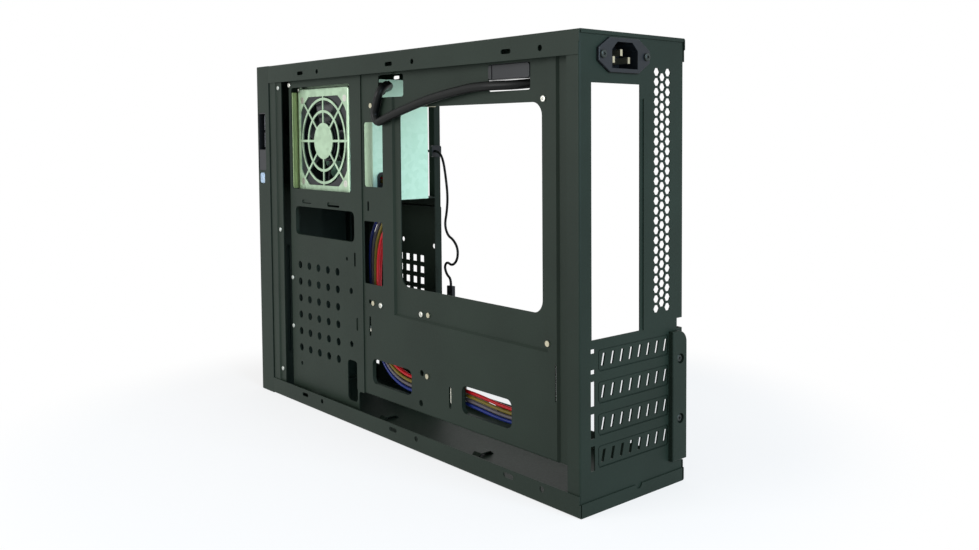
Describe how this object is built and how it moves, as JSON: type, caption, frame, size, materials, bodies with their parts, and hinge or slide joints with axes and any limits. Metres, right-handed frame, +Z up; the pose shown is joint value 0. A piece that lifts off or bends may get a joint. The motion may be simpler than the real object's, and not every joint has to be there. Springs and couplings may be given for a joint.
{
  "type": "micro atx pc case",
  "caption": "Slim upright computer case in folded black sheet steel with both side covers off: board tray, small supply with fan guard, card slots and moulded front.",
  "frame": {"origin": "under the middle of the whole case, on the surface that it stands on", "axes": "+Z up, +Y to the rear with the connector openings, +X to the side of the board tray"},
  "size_m": [0.1, 0.43, 0.3],
  "materials": {
    "black_steel": "satin black paint with a green-grey cast",
    "zinc_steel": "zinc plated sheet with a pale green tint",
    "bare_steel": "bare rolled sheet",
    "black_screws": "black oxide",
    "zinc_screws": "bright zinc",
    "brass_standoffs": "turned",
    "brass_blades": "plain",
    "dark_plastic": "fine matt grain",
    "black_plastic": "moulded, matt",
    "rubber": "soft black",
    "clear_lens": "clear, bluish",
    "pale_plastic": "natural nylon",
    "red_wire": "soft sleeve",
    "yellow_wire": "soft sleeve",
    "white_wire": "soft sleeve",
    "blue_wire": "soft sleeve",
    "black_wire": "soft sleeve"
  },
  "bodies": {
    "case": {"top_panel": "black_steel", "bottom_panel": "black_steel", "rear_panel": "black_steel", "front_panel": "black_steel", "motherboard_tray": "black_steel", "board_standoffs": "brass_standoffs", "tray_screws": "black_screws", "front_side_plate": "black_steel", "far_side_plate": "black_steel", "panel_rivets": "black_screws", "supply_shelf": "black_steel", "slot_cover_1": "black_steel", "slot_cover_2": "black_steel", "slot_cover_3": "black_steel", "slot_cover_4": "black_steel", "slot_retainer": "black_steel", "slot_screws": "black_screws", "retainer_screws": "black_screws", "supply_case": "zinc_steel", "supply_lid": "zinc_steel", "supply_bracket": "bare_steel", "supply_screws": "zinc_screws", "fan_frame": "black_plastic", "fan_screws": "zinc_screws", "inlet_body": "black_plastic", "inlet_pins": "brass_blades", "inlet_screws": "black_screws", "inlet_boot": "rubber", "bezel": "dark_plastic", "bay_cover": "dark_plastic", "power_switch": "black_plastic", "reset_switch": "black_plastic", "front_lights": "clear_lens", "port_insert": "black_plastic", "data_sockets": "bare_steel", "side_lens": "clear_lens", "mains_lead": "rubber", "lead_grommet": "rubber", "lead_saddle": "black_plastic", "harness_bushing": "black_plastic", "cable_ties": "pale_plastic", "board_plug": "pale_plastic", "red_wires": "red_wire", "yellow_wires": "yellow_wire", "white_wires": "white_wire", "blue_wires": "blue_wire", "black_wires": "black_wire", "panel_lead": "black_wire", "lead_clip": "black_plastic", "panel_lead_loop": "black_wire", "header_plug": "black_plastic"},
    "fan": {"fan_rotor": "black_plastic"},
    "power": {"power_button": "dark_plastic"},
    "reset": {"reset_button": "dark_plastic"}
  },
  "joints": [
    {"name": "fan_spin", "type": "hinge", "parent": "case", "child": "fan", "pos_m": [0.027, -0.1139, 0.232], "axis": [1, 0, 0], "continuous": true},
    {"name": "power_press", "type": "slide", "parent": "case", "child": "power", "axis": [0, 1, 0], "range_m": [0, 0.0015], "stiffness_N_per_m": 900, "springref_m": -0.0008},
    {"name": "reset_press", "type": "slide", "parent": "case", "child": "reset", "axis": [0, 1, 0], "range_m": [0, 0.0015], "stiffness_N_per_m": 600, "springref_m": -0.0008}
  ]
}
